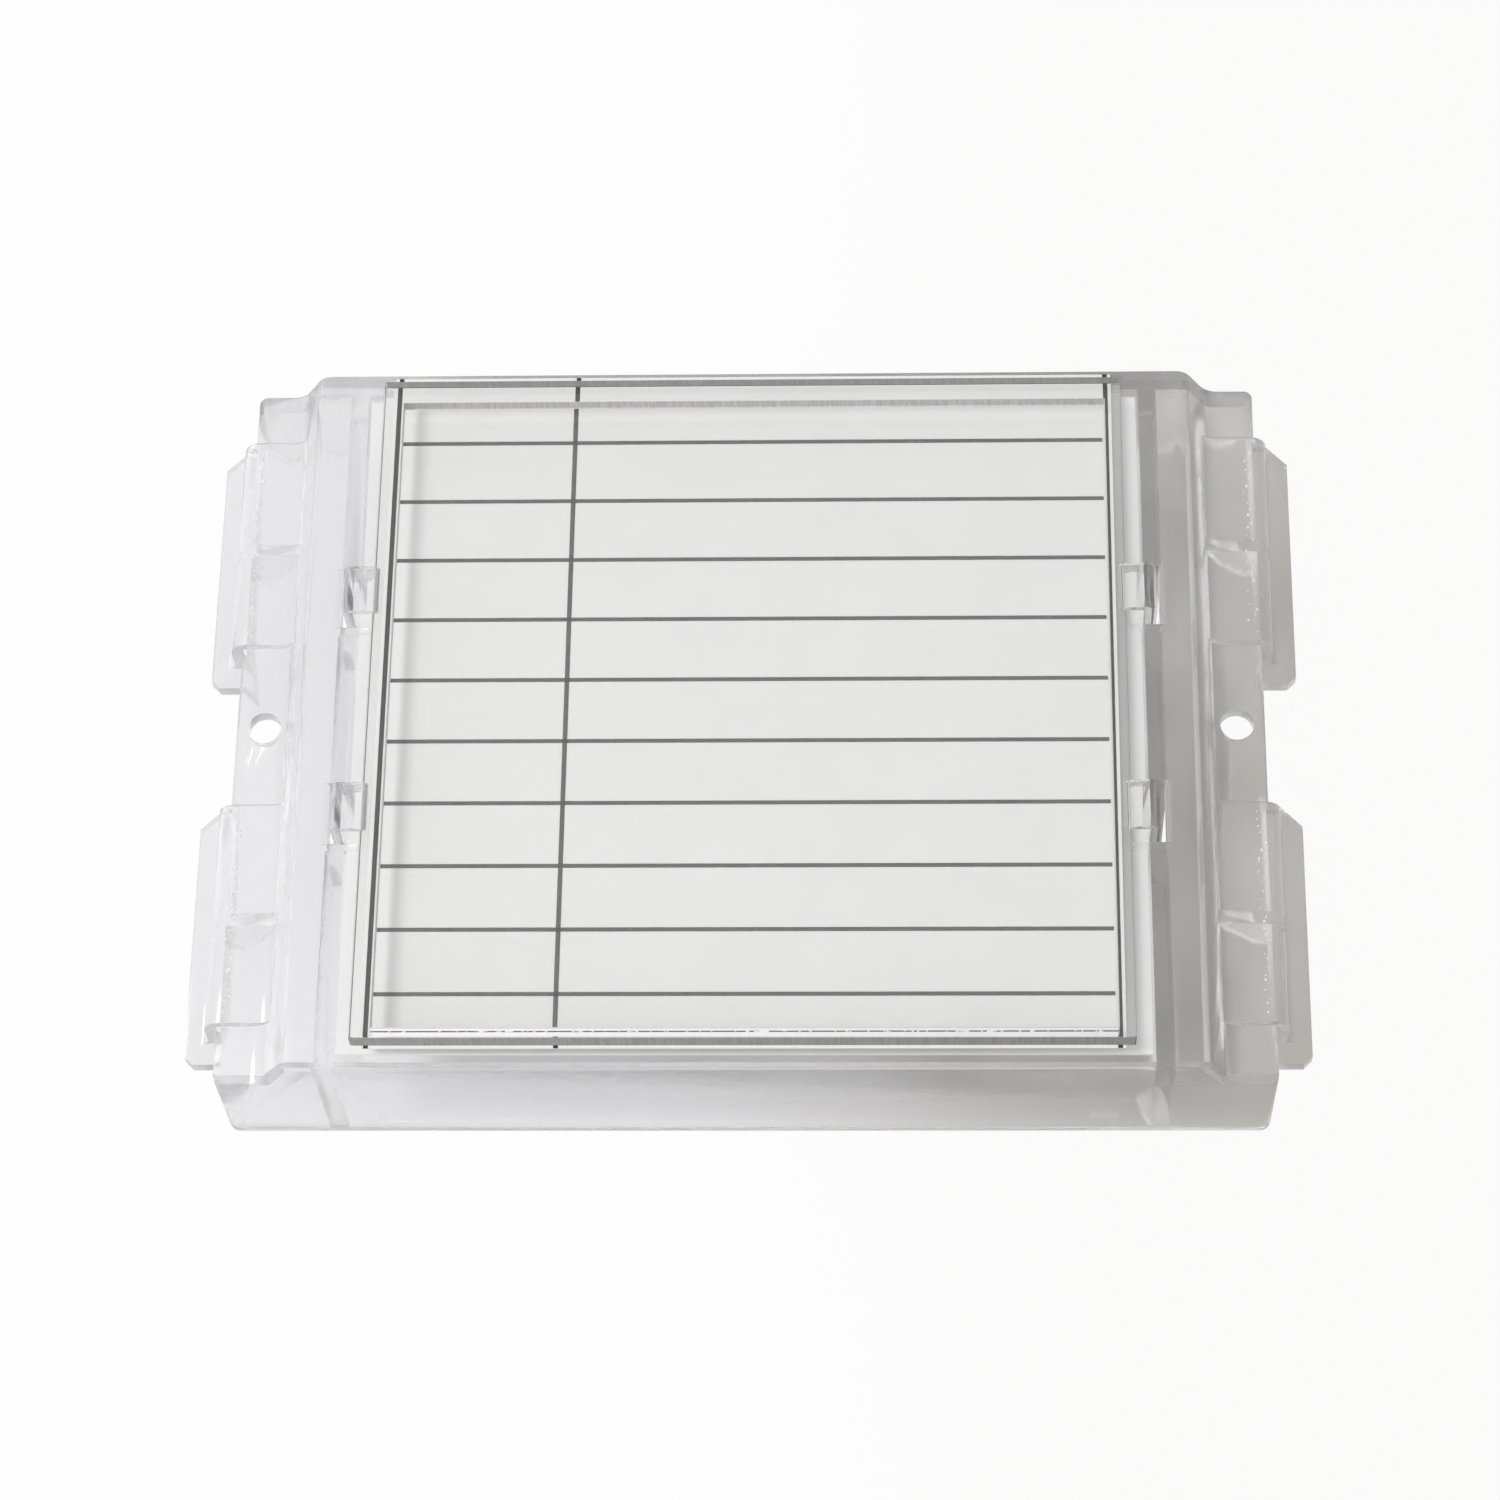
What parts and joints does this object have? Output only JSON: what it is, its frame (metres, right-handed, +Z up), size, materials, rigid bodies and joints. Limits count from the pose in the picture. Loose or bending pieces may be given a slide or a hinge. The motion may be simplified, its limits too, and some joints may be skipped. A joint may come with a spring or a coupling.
{
  "type": "ruled counting plate holder",
  "caption": "Clear moulded holder with a ruled white sheet under stacked clear plates, sprung hook latches, lipped side wings and screw lugs.",
  "frame": {"origin": "on the table, under the middle of the frame", "axes": "+X along the long side across the wings, +Y from the front wall to the rear wall, +Z up out of the deck"},
  "size_m": [0.131, 0.091, 0.0257],
  "materials": {
    "clear_moulding": "clear moulded, slightly hazy",
    "clear_plate": "clear, polished faces and sawn edges",
    "white_sheet": "matt paper",
    "white_card": "matt card",
    "black_ink": "matt print"
  },
  "bodies": {
    "holder": {"frame": "clear_moulding", "backing_card": "white_card"},
    "plate": {"window_plate": "clear_plate", "ruled_sheet": "white_sheet", "ruling": "black_ink"},
    "cover": {"cover_plate": "clear_plate"},
    "rear_left_hook": {"rear_left_latch": "clear_moulding"},
    "rear_right_hook": {"rear_right_latch": "clear_moulding"},
    "front_left_hook": {"front_left_latch": "clear_moulding"},
    "front_right_hook": {"front_right_latch": "clear_moulding"}
  },
  "joints": [
    {"name": "plate_slide", "type": "slide", "parent": "holder", "child": "plate", "axis": [0, -1, 0], "range_m": [0, 0.05]},
    {"name": "cover_lift", "type": "slide", "parent": "plate", "child": "cover", "axis": [0, 0, 1], "range_m": [0, 0.03]},
    {"name": "rear_left_flex", "type": "hinge", "parent": "holder", "child": "rear_left_hook", "pos_m": [-0.04745, 0.014, 0.0036], "axis": [0, -1, 0], "range_deg": [0, 2.7], "stiffness_Nm_per_rad": 0.32},
    {"name": "rear_right_flex", "type": "hinge", "parent": "holder", "child": "rear_right_hook", "pos_m": [0.04745, 0.014, 0.0036], "axis": [0, 1, 0], "range_deg": [0, 2.7], "stiffness_Nm_per_rad": 0.32},
    {"name": "front_left_flex", "type": "hinge", "parent": "holder", "child": "front_left_hook", "pos_m": [-0.04745, -0.0144, 0.0036], "axis": [0, -1, 0], "range_deg": [0, 2.7], "stiffness_Nm_per_rad": 0.32},
    {"name": "front_right_flex", "type": "hinge", "parent": "holder", "child": "front_right_hook", "pos_m": [0.04745, -0.0144, 0.0036], "axis": [0, 1, 0], "range_deg": [0, 2.7], "stiffness_Nm_per_rad": 0.32}
  ]
}
